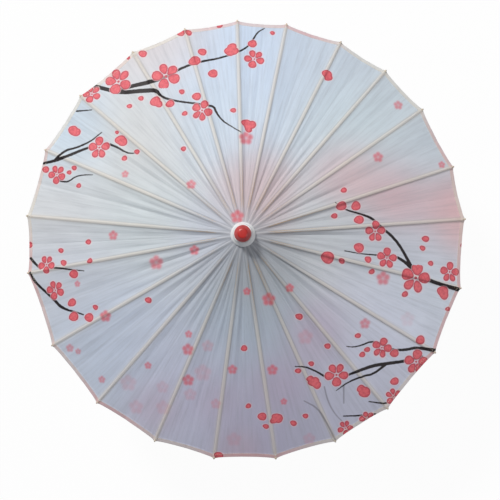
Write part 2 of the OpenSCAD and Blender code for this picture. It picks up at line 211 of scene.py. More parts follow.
# %% Branches: x, y and width of each bend, in mm
BRANCHES = [
    [(-285, 290, 7), (-254, 280, 7), (-234, 274, 7), (-178, 275, 8), (-163, 273, 7), (-156, 263, 4),
     (-143, 256, 3.5), (-119, 250, 3), (-97, 247, 3), (-68, 241, 3), (-55, 238, 3.5), (-51, 227, 3),
     (-40, 211, 2), (-23, 199, 1.5), (-5, 187, 1)],
    [(-240, 280, 7), (-210, 286, 7), (-178, 291, 8), (-163, 295, 7), (-140, 304, 5), (-124, 315, 4.5),
     (-103, 323, 4), (-80, 330, 3.5), (-37, 339, 3), (-11, 348, 3), (5, 359, 2.5), (14, 371, 2.5),
     (20, 384, 2.5), (27, 393, 2), (37, 399, 1.5)],
    [(-319, 242, 2.5), (-288, 242, 1)],
    [(-382, 143, 4), (-356, 147, 5), (-339, 152, 5.5), (-304, 165, 4.5), (-290, 169, 4)],
    [(-357, 149, 4), (-337, 166, 4), (-320, 169, 3), (-304, 174, 3), (-288, 181, 2.5), (-277, 189, 2),
     (-266, 197, 1)],
    [(-249, 173, 3.5), (-233, 166, 3), (-221, 158, 2.5), (-209, 153, 2), (-191, 155, 1)],
    [(-348, 108, 2.5), (-334, 105, 2.5), (-326, 107, 2), (-316, 114, 2), (-301, 117, 1.5), (-280, 116, 1)],
    [(-404, -37, 4.5), (-398, -44, 4.5), (-383, -57, 3)],
    [(-356, -55, 2.5), (-341, -56, 2.5), (-319, -59, 2), (-295, -61, 1)],
    [(-404, -64, 3.5), (-397, -79, 4.5), (-385, -91, 4), (-367, -106, 4), (-355, -117, 5), (-345, -127, 5),
     (-330, -134, 3.5), (-314, -137, 2.5), (-298, -142, 2)],
    [(163, 60, 1), (180, 48, 2), (210, 41, 3), (230, 34, 4), (240, 24, 4), (251, 15, 4), (268, 3, 4.5),
     (283, -14, 4.5), (293, -30, 4.5), (301, -44, 5), (310, -61, 6), (341, -79, 6),
     (371, -88, 6), (400, -96, 7)],
    [(180, -26, 1), (210, -31, 1.5), (241, -33, 2), (277, -35, 4), (295, -46, 5), (309, -59, 6)],
    [(185, -198, 1), (198, -200, 1.5), (213, -197, 2), (231, -190, 2.5), (248, -193, 3), (271, -207, 3.5),
     (299, -207, 4.5), (318, -203, 5), (355, -209, 6)],
    [(191, -251, 3.5), (211, -243, 5), (237, -235, 5.5), (262, -232, 5.5), (294, -229, 5), (330, -221, 5)],
    [(260, -234, 4), (237, -251, 3.5), (217, -254, 3), (190, -265, 2), (168, -281, 1)],
    [(149, -255, 3), (126, -241, 2.5), (108, -234, 2), (92, -234, 1)],
    [(230, -303, 1), (254, -307, 2.5), (270, -306, 2.5)],
    [(183, -330, 1.5), (216, -330, 2.5), (243, -328, 3.5)],
]
PALE_TWIGS = [
    [(146, -273, 1.5), (153, -301, 1.5), (167, -326, 1), (183, -342, 1)],
    [(109, -299, 1), (135, -313, 2), (153, -344, 2), (169, -376, 2)],
    [(182, -271, 2), (183, -305, 1.5)],
]


def round_bends(points, times=1):
    """Cuts the corners of a line of points, and keeps its two ends."""
    line = np.array(points, float)
    for _ in range(times):
        near, far = line[:-1] * 0.75 + line[1:] * 0.25, line[:-1] * 0.25 + line[1:] * 0.75
        line = np.concatenate([line[:1], np.stack([near, far], 1).reshape(-1, 3), line[-1:]])
    return line


branch_lines = [round_bends(points) for points in BRANCHES]
twig_lines = [round_bends(points, 2) for points in PALE_TWIGS]
print(len(branch_lines), "branches,", len(twig_lines), "pale twigs")

# %% [markdown]
# A blossom is five petals, two of them narrower and closer together, about a
# pale middle. The smaller spots are single ovals. Each row below is a place and
# a radius in mm, and for a blossom the way its two narrow petals point.

# %% Blossoms, buds and faint flowers, in mm
BLOSSOMS = [  # x, y, radius, direction of the two narrow petals in degrees
    (-239, 297, 26, 76), (-147, 302, 27, 77), (-77, 231, 20, -115), (-290, 274, 18, 76), (18, 334, 19, 78),
    (-270, 168, 21, -90), (-353, 120, 18, 80), (-371, -49, 17, 88), (-354, -97, 18, 80),
    (237, 10, 19, -92), (259, -38, 19, -97), (314, -74, 28, -102), (382, -63, 19, -97),
    (252, -202, 19, -105), (319, -230, 23, -95), (168, -251, 22, 93), (277, -295, 16, 130),
    (228, -337, 15, 80), (187, -354, 15, 100),
]
BUDS = [  # x, y, radius
    (-24, 359, 9), (-28, 350, 11), (-20, 349, 9), (-94, 331, 11.5), (-194, 351, 8.5), (-222, 344, 4),
    (-122, 391, 8), (-107, 391, 7), (-80, 350, 8.5), (-59, 305, 9), (-48, 405, 6), (14, 366, 8.5),
    (-116, 270, 5.5), (-88, 259, 8.5), (-193, 260, 5.5), (-215, 246, 5.5), (-165, 252, 10.5),
    (-158, 246, 7.5),
    (-137, 246, 8.5), (-109, 226, 5.5), (-20, 230, 5.5), (52, 389, 5), (4, 205, 9.5), (13, 202, 9),
    (8, 193, 7), (9, 200, 9), (-109, 158, 5), (153, 305, 10), (156, 298, 8),
    (-325, 205, 10), (-318, 200, 9.5), (-229, 180, 11), (-224, 176, 9), (-236, 195, 4), (-196, 156, 5.5),
    (-220, 145, 5.5), (-318, 131, 5.5), (-328, 123, 5), (-308, 97, 5), (-377, 131, 7.5), (-336, -46, 6.5),
    (-283, -43, 5.5), (-316, -67, 9), (-287, -8, 5.5), (-342, -23, 5.5), (-408, -12, 7), (-321, -120, 9),
    (-318, -146, 10), (-287, -147, 9), (-274, -128, 5.5), (-172, -114, 6.5),
    (179, 83, 6), (174, 54, 10), (201, 55, 9), (161, 36, 6), (206, 30, 9.5), (334, -2, 7.5), (328, -19, 6),
    (206, -20, 9.5), (148, -38, 12), (174, -44, 6), (223, -41, 6.5), (230, -63, 6), (294, -104, 6.5),
    (368, -99, 11.5), (371, -106, 9), (344, -47, 5.5), (379, -132, 5), (325, -189, 9), (224, -205, 6),
    (215, -214, 6), (276, -213, 8.5), (121, -229, 5.5), (97, -242, 6), (126, -263, 11), (132, -269, 8),
    (119, -257, 7), (221, -285, 11), (214, -278, 8), (150, -197, 6), (206, -179, 6), (278, -266, 8.5),
    (32, -328, 8.5), (60, -331, 11), (54, -335, 8), (39, -347, 6), (112, -328, 5.5), (90, -342, 6.5),
    (98, -143, 7), (0, -200, 6), (7, -308, 5.5), (-49, -405, 9), (412, -13, 8),
]
FAINT = [  # x, y, radius, strength
    (-217, 115, 7, 0.9), (-93, 91, 9, 0.95), (-238, 3, 9, 0.95), (-10, 31, 12, 1), (-309, -85, 6, 0.9),
    (-254, -144, 11, 1), (-156, -47, 13, 0.9), (-86, -26, 9, 1), (-99, -175, 7, 0.9), (-101, -203, 11, 0.95),
    (-176, -234, 7, 0.9), (-102, -260, 11, 0.95), (-327, -205, 8, 0.7), (-311, -211, 6, 0.7),
    (-266, -263, 7, 0.8), (-21, -239, 9, 0.95), (6, -98, 7, 1), (-65, -196, 11, 0.3), (-75, -246, 16, 0.25),
    (-99, -287, 12, 0.25), (-202, -314, 14, 0.25), (-215, -268, 16, 0.25), (-52, -304, 10, 0.35),
    (-150, -274, 12, 0.2), (-150, -313, 14, 0.2), (-20, -373, 14, 0.2), (110, -180, 14, 0.3),
    (120, -373, 12, 0.25),
    (288, 250, 9, 0.85), (245, 147, 10, 0.9), (369, 138, 7, 0.9), (252, -75, 13, 0.95),
    (219, -157, 10, 0.85),
    (300, -150, 14, 0.15), (81, -92, 8, 1), (44, -112, 12, 1), (51, -240, 10, 0.95), (72, -300, 6.5, 0.9),
    (4, 176, 13, 1),
]
PETALS = [(29, 0.30), (-29, 0.30), (-98, 0.36), (98, 0.36), (180, 0.38)]   # aside, half width as a share
GAP = 1.3                                       # pale line between two petals, mm
chance = np.random.default_rng(5)
flowers = []                                    # each a list of ovals: x, y, turn, half length, half width
for x, y, radius, turn in BLOSSOMS:
    ovals = []
    for aside, wide in PETALS:
        a = math.radians(turn + aside + chance.uniform(-5, 5))
        ovals.append((x + 0.59 * radius * math.cos(a), y + 0.59 * radius * math.sin(a), a,
                      0.41 * radius, wide * radius * chance.uniform(0.94, 1.06)))
    flowers.append(ovals)
    flowers.append([(x, y, 0, 0.09 * radius, 0.09 * radius)])
for x, y, radius in BUDS:
    flowers.append([(x, y, chance.uniform(-0.6, 0.6), radius, radius * chance.uniform(0.76, 0.92))])
print(len(BLOSSOMS), "blossoms,", len(BUDS), "buds,", len(FAINT), "faint flowers")

# %% Measure the print at points of the cloth
FAR = 40.0                                     # farther than this is bare cloth, mm
INK_SPREAD = 0.4                               # how far the ink has run into the cloth, mm


def line_distance(lines, xy):
    """Distance to the edge of the nearest line, negative inside it, mm."""
    best = np.full(len(xy), FAR)
    for line in lines:
        for start, end in zip(line[:-1], line[1:]):
            near = np.flatnonzero(np.abs(xy - (start[:2] + end[:2]) / 2).max(1) < FAR)
            if not len(near):
                continue
            along = end[:2] - start[:2]
            to = xy[near] - start[:2]
            share = np.clip(to @ along / max(along @ along, 1e-9), 0, 1)
            wide = start[2] + (end[2] - start[2]) * share
            gone = np.linalg.norm(to - share[:, None] * along, axis=1) - wide / 2 - INK_SPREAD
            best[near] = np.minimum(best[near], gone)
    return best


def oval_distance(xy, x, y, turn, long, wide):
    """Roughly the distance to the edge of an oval that is wider at its outer end, mm."""
    c, s = math.cos(turn), math.sin(turn)
    dx, dy = xy[:, 0] - x, xy[:, 1] - y
    u, v = (dx * c + dy * s) / long, (dy * c - dx * s) / wide
    v = v / (1 + 0.18 * np.clip(u, -1, 1))
    return (np.sqrt(u * u + v * v) - 1) * min(long, wide)


def petal_distance(xy):
    """Distance to the edge of the nearest petal, negative inside it, mm."""
    best = np.full(len(xy), FAR)
    for ovals in flowers:
        near = np.flatnonzero(np.abs(xy - ovals[0][:2]).max(1) < FAR)
        if not len(near):
            continue
        away = np.sort([oval_distance(xy[near], *oval) for oval in ovals], axis=0)
        if len(ovals) > 1:                     # a pale line stays between two petals
            away[0] = np.maximum(away[0], (GAP - away[1] + away[0]) / 2)
        best[near] = np.minimum(best[near], away[0])
    return best


def faint_strength(xy):
    """How strongly the blurred small flowers show, from 0 to 1."""
    best = np.zeros(len(xy))
    for x, y, radius, strength in FAINT:
        near = np.flatnonzero(np.abs(xy - (x, y)).max(1) < 2.2 * radius)
        shape = np.zeros(len(near))
        for i in range(5):
            a = math.radians(17 + 72 * i)
            d = xy[near] - (x + 0.55 * radius * math.cos(a), y + 0.55 * radius * math.sin(a))
            shape = np.maximum(shape, np.exp(-((d ** 2).sum(1) / (0.46 * radius) ** 2) ** 2))
        square = ((xy[near] - (x, y)) ** 2).sum(1)
        shape = np.maximum(shape, 0.9 * np.exp(-square / (0.5 * radius) ** 2))
        shape = shape * (1 - 0.6 * np.exp(-square / (0.15 * radius) ** 2))
        best[near] = np.maximum(best[near], strength * shape)
    return best


# %% [markdown]
# The ground isn't one colour either: it is a cold white that turns blue at
# the far side, a darker lavender in front and pink on the right. Just below the
# hub, a grey spot is painted shade. It is mixed from a few wide, soft spots.

# %% The ground colour
def linear(r, g, b):
    """A colour as it looks on a screen, 0 to 255, as the light it gives back."""
    return np.array([
        (v / 255 / 12.92) if v / 255 <= 0.04045 else ((v / 255 + 0.055) / 1.055) ** 2.4 for v in (r, g, b)
    ])


GROUND = linear(222, 226, 230)
SPOTS = [  # x, y, reach, colour
    (0, 330, 130, linear(206, 224, 248)),
    (-60, 230, 80, linear(210, 224, 238)),
    (-150, 370, 70, linear(222, 212, 212)),
    (-190, 190, 80, linear(214, 215, 214)),
    (-330, 190, 80, linear(204, 222, 238)),
    (-340, 60, 90, linear(222, 224, 226)),
    (-200, 40, 90, linear(208, 218, 222)),
    (170, 320, 110, linear(206, 218, 232)),
    (200, 220, 90, linear(216, 232, 238)),
    (280, 80, 55, linear(226, 184, 190)),
    (385, 55, 55, linear(232, 184, 188)),
    (410, 25, 45, linear(252, 206, 206)),
    (190, 115, 50, linear(226, 190, 194)),
    (340, -110, 90, linear(222, 232, 244)),
    (280, -170, 90, linear(228, 232, 250)),
    (-330, -60, 90, linear(208, 214, 226)),
    (-240, -190, 110, linear(206, 218, 238)),
    (-100, -300, 110, linear(208, 210, 234)),
    (40, -350, 120, linear(184, 180, 206)),
    (0, -170, 80, linear(184, 200, 216)),
    (220, -290, 110, linear(204, 206, 226)),
    (20, 85, 55, linear(212, 188, 192)),
    (-60, -5, 60, linear(204, 210, 224)),
    (170, 20, 50, linear(206, 212, 218)),
    (330, 160, 75, linear(212, 224, 234)),
    (330, -30, 60, linear(216, 220, 232)),
    (240, -20, 50, linear(206, 212, 222)),
    (-160, -310, 40, linear(206, 184, 204)),
    (-50, -300, 40, linear(196, 178, 200)),
    (60, -270, 45, linear(198, 180, 204)),
    (130, -180, 45, linear(202, 186, 208)),
    (-10, -390, 35, linear(206, 178, 194)),
    # Painted shade: a grey spot just below the hub, where shade falls.
    (15, -65, 60, linear(172, 178, 184)),
]


def ground_and_shade_colour(xy):
    total = np.ones((len(xy), 1)) * 0.15
    mixed = total * GROUND
    for x, y, reach, colour in SPOTS:
        weight = np.exp(-((xy - (x, y)) ** 2).sum(1) / reach ** 2)[:, None]
        total, mixed = total + weight, mixed + weight * colour
    return mixed / total

# %% [markdown]
# ## Cutting the cloth into panels
# The real cloth is one sheet, but it is sewn to every rib and folds in a pleat
# between each two. A piece here can ride on one body only, so the sheet is cut
# where the stitching is: a narrow band on each rib, and a panel on either side
# of it out to the middle of the gore. Open, they meet exactly and read as one
# curved sheet. The edge is hemmed: the last 8 mm are doubled under.

# %% Panels and bands
HEM = 8.0
rows_open = np.concatenate([
    np.arange(CLOTH_IN, 30, 1.2), np.arange(30, RIM_R - HEM - 2, 1.7),
    RIM_R - HEM + np.array([-1.0, -0.4, 0.2]), np.linspace(RIM_R - HEM + 1.5, RIM_R, 6),
])
COLUMNS = 33
ACROSS = (np.arange(COLUMNS) / (COLUMNS - 1)) ** 1.2


def hem_rise(r):
    return 0.35 * smooth_step(r, RIM_R - HEM - 0.7, RIM_R - HEM)


def panel_points(gore, side):
    """Half a gore: side +1 starts at the gore's own rib, -1 at the next one."""
    half_chord = rows_open * math.sin(gore["gap"] / 2)
    edge = 1 - ridge_half(rows_open) / half_chord
    grid = []
    for r, e in zip(rows_open, edge):
        w = -side * e * (1 - ACROSS)
        p = gore_point(gore, np.full(COLUMNS, r), w)
        p[:, 2] += hem_rise(r)
        grid.append(p)
    last_w = -side * edge[-1] * (1 - ACROSS)
    for back, down in ((-0.15, 0.3), (0.4, 0.62), (HEM, 0.75)):      # the turned-under hem
        p = gore_point(gore, np.full(COLUMNS, RIM_R - back), last_w)
        p[:, 2] += hem_rise(RIM_R) - down - 0.15 * np.sin(ACROSS * math.pi)
        grid.append(p)
    return np.array(grid)


def band_points(rib):
    """The strip of cloth that lies on a rib, five points across."""
    before = next(r for r in ribs if r["next"] is rib)
    grid = []
    for r in list(rows_open) + [None]:
        radius = RIM_R if r is None else r
        row = []
        for share in (1.0, 0.5, 0.0, -0.5, -1.0):
            gore, sign = (rib, -1) if share >= 0 else (before, 1)
            w = sign * (1 - abs(share) * ridge_half(radius) / (radius * math.sin(gore["gap"] / 2)))
            p = gore_point(gore, np.array([radius]), np.array([w]))[0]
            p[2] += hem_rise(radius) + 0.25 * (1 - share ** 2) - (0.45 if r is None else 0)
            row.append(p)
        grid.append(row)
    return np.array(grid)


def cloth_piece(name, grid, flip, hem_rows):
    rows, columns = grid.shape[:2]
    points = grid.reshape(-1, 3)
    piece = new_piece(name, points, grid_faces(rows, columns, flip))
    xy = points[:, :2]
    uv = piece.data.uv_layers.new(name="UVMap")
    index = np.zeros(len(piece.data.loops), int)
    piece.data.loops.foreach_get("vertex_index", index)
    uv.data.foreach_set("uv", (xy[index] * MM).ravel())
    set_colours(piece, "ground", ground_and_shade_colour(xy))
    set_values(piece, "branch", line_distance(branch_lines, xy))
    set_values(piece, "twig", line_distance(twig_lines, xy))
    set_values(piece, "petal", petal_distance(xy))
    set_values(piece, "faint", faint_strength(xy))
    hem = np.zeros((rows, columns))
    hem[-hem_rows:] = 1
    set_values(piece, "hem", hem)
    return piece


def ridge_shows(grid):
    """The cream of a ridge, which is partly a painted highlight, fades out towards the hub."""
    return 0.15 + 0.85 * smooth_step(np.linalg.norm(grid[:, 0, :2], axis=1), 50, 190)


panels = []
for rib in ribs:
    before = next(r for r in ribs if r["next"] is rib)
    left, right = panel_points(rib, 1), panel_points(before, -1)
    for side, name, grid in ((1, "left", left), (-1, "right", right)):
        piece = cloth_piece(f"canopy_{name}_{rib['number']}", grid, side < 0, 9)
        ridge = np.exp(-np.tile(ACROSS, (len(grid), 1)) * 26)
        set_values(piece, "ridge", ridge * ridge_shows(grid)[:, None])
        # Painted shade: a dark line in the groove just beside each ridge, strongest 1.6 mm from the seam.
        gone = np.linalg.norm(grid - grid[:, :1], axis=2)                # mm from the seam
        set_values(piece, "groove", np.exp(-((gone - 1.6) / 1.3) ** 2))
        panels.append((piece, rib, side))
    band = cloth_piece(f"canopy_band_{rib['number']}", band_points(rib), True, 7)
    set_values(band, "ridge", np.repeat(ridge_shows(band_points(rib)), 5))
    panels.append((band, rib, 0))
print(len(panels), "pieces of cloth,", sum(len(p.data.polygons) for p, _, _ in panels), "quads")

# %% [markdown]
# ## Helpers for materials
# A material is a small network. These three helpers add a node with its
# settings, join two sockets, and keep the long names of Blender out of the
# steps that follow.

# %% Material helpers
def add_node(tree, kind, values=(), **settings):
    node = tree.nodes.new(kind)
    for key, value in settings.items():
        setattr(node, key, value)
    for key, value in dict(values).items():
        node.inputs[key].default_value = value
    return node


def join(tree, start, end):
    tree.links.new(start, end)


def new_material(name, **sockets):
    """A material with a Principled BSDF, whose plain values are set directly."""
    material = bpy.data.materials.new(name)
    material.use_nodes = True
    tree = material.node_tree
    bsdf = tree.nodes["Principled BSDF"]
    for key, value in sockets.items():
        bsdf.inputs[key.replace("_", " ")].default_value = value
    return material, tree, bsdf


def new_group(name, inputs, outputs):
    """A shader node group with named inputs and outputs."""
    group = bpy.data.node_groups.new(name, "ShaderNodeTree")
    for key, kind, value in inputs:
        socket = group.interface.new_socket(key, in_out="INPUT", socket_type=kind)
        if value is not None:
            socket.default_value = value
    for key, kind in outputs:
        group.interface.new_socket(key, in_out="OUTPUT", socket_type=kind)
    return group, add_node(group, "NodeGroupInput"), add_node(group, "NodeGroupOutput")


def use_group(tree, group, **values):
    node = add_node(tree, "ShaderNodeGroup", node_tree=group)
    for key, value in values.items():
        node.inputs[key.replace("_", " ")].default_value = value
    return node


def mix_colour(tree, share, first, second, blend="MIX"):
    """first with share of second over it. Each is a socket, a colour or a number."""
    node = add_node(tree, "ShaderNodeMix", data_type="RGBA", blend_type=blend)
    for socket, value in ((node.inputs[0], share), (node.inputs[6], first), (node.inputs[7], second)):
        if isinstance(value, bpy.types.NodeSocket):
            join(tree, value, socket)
        else:
            socket.default_value = (*value, 1) if hasattr(value, "__len__") else value
    return node.outputs[2]


def map_range(tree, value, low, high, to_low=0.0, to_high=1.0, smooth=False):
    node = add_node(tree, "ShaderNodeMapRange", {1: low, 2: high, 3: to_low, 4: to_high},
                    interpolation_type="SMOOTHSTEP" if smooth else "LINEAR")
    join(tree, value, node.inputs[0])
    return node.outputs[0]


def calculate(tree, operation, first, second=None):
    node = add_node(tree, "ShaderNodeMath", operation=operation)
    for socket, value in zip(node.inputs, (first, second)):
        if isinstance(value, bpy.types.NodeSocket):
            join(tree, value, socket)
        elif value is not None:
            socket.default_value = value
    return node.outputs[0]


def attribute(tree, name, output="Fac"):
    return add_node(tree, "ShaderNodeAttribute", attribute_name=name).outputs[output]

# %% [markdown]
# ## Weave
# The cloth is a fine plain weave that has been oiled, so its threads are soft
# bumps about half a millimetre apart. Two crossed waves make the weave, and a
# slow noise makes some patches oilier than others.

# %% Weave group
weave, g_in, g_out = new_group(
    "weave", [("Place", "NodeSocketVector", None), ("Threads", "NodeSocketFloat", 1200.0)],
    [("Height", "NodeSocketFloat"), ("Patches", "NodeSocketFloat")])
waves = []
for direction in ("X", "Y"):
    wave = add_node(weave, "ShaderNodeTexWave", {"Distortion": 1.2, "Detail": 1.0},
                    bands_direction=direction)
    join(weave, g_in.outputs["Place"], wave.inputs["Vector"])
    join(weave, g_in.outputs["Threads"], wave.inputs["Scale"])
    waves.append(wave.outputs["Fac"])
join(weave, calculate(weave, "MAXIMUM", *waves), g_out.inputs["Height"])
patches = add_node(weave, "ShaderNodeTexNoise", {"Scale": 14.0, "Detail": 4.0, "Roughness": 0.6})
join(weave, g_in.outputs["Place"], patches.inputs["Vector"])
join(weave, patches.outputs["Fac"], g_out.inputs["Patches"])

# %% [markdown]
# ## Grain
# Bamboo and turned wood are both made of fibres that run one way. One group
# makes them all: it is given a place whose first number runs along the fibres,
# and stretches a noise that way. Bamboo also has a few dark rings, its nodes.

# %% Grain group
grain, g_in, g_out = new_group(
    "grain", [("Place", "NodeSocketVector", None), ("Fineness", "NodeSocketFloat", 900.0),
              ("Stretch", "NodeSocketFloat", 0.04), ("Ring distance", "NodeSocketFloat", 0.14)],
    [("Fibres", "NodeSocketFloat"), ("Patches", "NodeSocketFloat"), ("Rings", "NodeSocketFloat")])
parts = add_node(grain, "ShaderNodeSeparateXYZ")
join(grain, g_in.outputs["Place"], parts.inputs[0])
thin = add_node(grain, "ShaderNodeCombineXYZ")
join(grain, calculate(grain, "MULTIPLY", parts.outputs[0], g_in.outputs["Stretch"]), thin.inputs[0])
join(grain, parts.outputs[1], thin.inputs[1])
join(grain, parts.outputs[2], thin.inputs[2])
fibres = add_node(grain, "ShaderNodeTexNoise", {"Detail": 3.0, "Roughness": 0.6})
join(grain, thin.outputs[0], fibres.inputs["Vector"])
join(grain, g_in.outputs["Fineness"], fibres.inputs["Scale"])
join(grain, fibres.outputs["Fac"], g_out.inputs["Fibres"])
slow = add_node(grain, "ShaderNodeTexNoise", {"Scale": 22.0, "Detail": 3.0})
join(grain, g_in.outputs["Place"], slow.inputs["Vector"])
join(grain, slow.outputs["Fac"], g_out.inputs["Patches"])
shifted = calculate(grain, "ADD", parts.outputs[0], calculate(grain, "MULTIPLY", slow.outputs["Fac"], 0.02))
half_ring = calculate(grain, "MULTIPLY", g_in.outputs["Ring distance"], 0.5)
to_ring = calculate(grain, "PINGPONG", shifted, half_ring)
join(grain, map_range(grain, to_ring, 0.0022, 0.0004, smooth=True), g_out.inputs["Rings"])

# %% [markdown]
# The ribs all point away from the shaft, so one material serves all of them:
# the distance from the shaft runs along a rib, the direction tells the ribs
# apart, and the height above the rib's own slope runs across it. A rib slopes
# down and a stretcher slopes up, so each has its own slope.

# %% Bamboo and wood
def along_ribs(tree, slope):
    """A place that runs along the ribs, from Object coordinates. Its second number is the direction."""
    xyz = add_node(tree, "ShaderNodeSeparateXYZ")
    join(tree, add_node(tree, "ShaderNodeTexCoord").outputs["Object"], xyz.inputs[0])
    x, y, z = xyz.outputs
    square = calculate(tree, "ADD", calculate(tree, "MULTIPLY", x, x), calculate(tree, "MULTIPLY", y, y))
    radius = calculate(tree, "SQRT", square)
    place = add_node(tree, "ShaderNodeCombineXYZ")
    join(tree, radius, place.inputs[0])
    join(tree, calculate(tree, "MULTIPLY", calculate(tree, "ARCTAN2", y, x), 0.25), place.inputs[1])
    join(tree, calculate(tree, "ADD", z, calculate(tree, "MULTIPLY", radius, slope)), place.inputs[2])
    return place.outputs[0]


def along_shaft(tree, _slope):
    """A place that runs up the shaft, from Object coordinates. It has no slope to follow."""
    xyz = add_node(tree, "ShaderNodeSeparateXYZ")
    join(tree, add_node(tree, "ShaderNodeTexCoord").outputs["Object"], xyz.inputs[0])
    place = add_node(tree, "ShaderNodeCombineXYZ")
    join(tree, xyz.outputs[2], place.inputs[0])
    join(tree, xyz.outputs[0], place.inputs[1])
    join(tree, xyz.outputs[1], place.inputs[2])
    return place.outputs[0]


def wood(name, pale, dark, rough, place, slope=0.0, rings=None, fineness=900.0, **sockets):
    material, tree, bsdf = new_material(name, **sockets)
    look = use_group(tree, grain, Fineness=fineness, Ring_distance=rings or 5.0)
    join(tree, place(tree, slope), look.inputs["Place"])
    colour = mix_colour(tree, map_range(tree, look.outputs["Fibres"], 0.3, 0.7), pale, dark)
    colour = mix_colour(tree, map_range(tree, look.outputs["Patches"], 0.35, 0.7, 0, 0.35), colour, dark)
    if rings:
        ring = calculate(tree, "MULTIPLY", look.outputs["Rings"], 0.75)
        colour = mix_colour(tree, ring, colour, dark * 0.35)
    join(tree, colour, bsdf.inputs["Base Color"])
    roughness = map_range(tree, look.outputs["Fibres"], 0.2, 0.8, rough - 0.08, rough + 0.1)
    join(tree, roughness, bsdf.inputs["Roughness"])
    bump = add_node(tree, "ShaderNodeBump", {"Strength": 0.35, "Distance": 0.0002})
    join(tree, look.outputs["Fibres"], bump.inputs["Height"])
    join(tree, bump.outputs[0], bsdf.inputs["Normal"])
    return material


RIB_FALL = math.tan(SLOPE)
bamboo_rib = wood("rib bamboo", linear(214, 178, 118), linear(176, 134, 78), 0.45,
                  along_ribs, RIB_FALL, 0.17)
bamboo_stretcher = wood("stretcher bamboo", linear(206, 168, 108), linear(166, 124, 70), 0.48,
                        along_ribs, -RIB_FALL)
bamboo_shaft = wood("shaft bamboo", linear(206, 168, 104), linear(158, 112, 60), 0.4, along_shaft, 0, 0.11,
                    Coat_Weight=0.25, Coat_Roughness=0.2)
hub_wood = wood("hub wood", linear(140, 96, 60), linear(92, 58, 34), 0.5, along_shaft, fineness=600.0)
peg_wood = wood("peg wood", linear(196, 156, 100), linear(150, 108, 62), 0.55, along_shaft)
grip_wood = wood("grip wood", linear(122, 62, 34), linear(70, 30, 18), 0.38, along_shaft, fineness=500.0,
                 Coat_Weight=0.6, Coat_Roughness=0.12)
print("woods ready")

# %% [markdown]
# ## The printed cloth
# The layers go on in this order: the ground, with a painted shade just below
# the hub; painted shade in the groove beside each ridge; the cream of the
# ridges, which is partly a painted highlight, and the cream of the hem; the
# faint small flowers, the dark branches, and last the blossom with a pale edge
# round each petal. Thin cloth lets some light through, so a Translucent BSDF
# is mixed in.

# %% Cloth material
cloth, tree, bsdf = new_material("oiled printed cloth", Roughness=0.55, Coat_Weight=0.06, Coat_Roughness=0.4)
place = add_node(tree, "ShaderNodeTexCoord").outputs["Object"]
fabric = use_group(tree, weave)
join(tree, add_node(tree, "ShaderNodeUVMap", uv_map="UVMap").outputs[0], fabric.inputs["Place"])
wobble = add_node(tree, "ShaderNodeTexNoise", {"Scale": 220.0, "Detail": 2.0})
join(tree, place, wobble.inputs["Vector"])
shake = map_range(tree, wobble.outputs["Fac"], 0.3, 0.7, -0.22, 0.22)
branch = calculate(tree, "ADD", attribute(tree, "branch"), shake)
petal = calculate(tree, "ADD", attribute(tree, "petal"), shake)
CREAM, PINK, PINK_EDGE = linear(242, 236, 226), linear(238, 114, 122), linear(186, 66, 84)
PALE_EDGE, INK, PALE_INK = linear(250, 208, 210), linear(36, 28, 31), linear(116, 112, 124)
FAINT_PINK, HEM_PINK = linear(226, 96, 112), linear(240, 190, 186)
colour = attribute(tree, "ground", "Color")
patch = map_range(tree, fabric.outputs["Patches"], 0.35, 0.75, 0, 0.16)
colour = mix_colour(tree, patch, colour, linear(176, 180, 190))
streaks = use_group(tree, grain, Fineness=260.0, Stretch=0.05)
join(tree, along_ribs(tree, RIB_FALL), streaks.inputs["Place"])
streak = map_range(tree, streaks.outputs["Fibres"], 0.45, 0.72, 0, 0.22)
colour = mix_colour(tree, streak, colour, linear(150, 152, 158))
# Painted shade in the groove beside each ridge: the colour is darkened towards grey there.
crease = calculate(tree, "MULTIPLY", attribute(tree, "groove"), 0.28)
colour = mix_colour(tree, crease, colour, linear(100, 102, 110))
# The ridges are tinted cream: partly a cream tint over each rib, partly a painted highlight along the ridge.
colour = mix_colour(tree, calculate(tree, "MULTIPLY", attribute(tree, "ridge"), 0.6), colour, CREAM)
faded = add_node(tree, "ShaderNodeTexNoise", {"Scale": 5.0, "Detail": 1.0})
join(tree, place, faded.inputs["Vector"])
hem_colour = mix_colour(tree, map_range(tree, faded.outputs["Fac"], 0.4, 0.6), CREAM, HEM_PINK)
colour = mix_colour(tree, calculate(tree, "MULTIPLY", attribute(tree, "hem"), 0.65), colour, hem_colour)
colour = mix_colour(tree, calculate(tree, "MULTIPLY", attribute(tree, "faint"), 0.8), colour, FAINT_PINK)
colour = mix_colour(tree, map_range(tree, attribute(tree, "twig"), 0.9, -0.5, 0, 0.6), colour, PALE_INK)
colour = mix_colour(tree, map_range(tree, branch, 0.4, -0.4), colour, INK)
colour = mix_colour(tree, map_range(tree, petal, 2.0, 0.6, 0, 0.5, True), colour, PALE_EDGE)
mottled = mix_colour(tree, map_range(tree, wobble.outputs["Fac"], 0.4, 0.65, 0, 0.4), PINK, PINK_EDGE)
shade = mix_colour(tree, map_range(tree, petal, -2.6, -0.6, 0, 0.85, True), mottled, PINK_EDGE)
colour = mix_colour(tree, map_range(tree, petal, 0.45, -0.45), colour, shade)
join(tree, colour, bsdf.inputs["Base Color"])
join(tree, map_range(tree, fabric.outputs["Patches"], 0.3, 0.7, 0.48, 0.66), bsdf.inputs["Roughness"])
crinkle = add_node(tree, "ShaderNodeBump", {"Strength": 0.6, "Distance": 0.0008})
join(tree, streaks.outputs["Fibres"], crinkle.inputs["Height"])
bump = add_node(tree, "ShaderNodeBump", {"Strength": 0.08, "Distance": 0.0002})
join(tree, fabric.outputs["Height"], bump.inputs["Height"])
join(tree, crinkle.outputs[0], bump.inputs["Normal"])
join(tree, bump.outputs[0], bsdf.inputs["Normal"])
through = add_node(tree, "ShaderNodeBsdfTranslucent")
join(tree, colour, through.inputs["Color"])
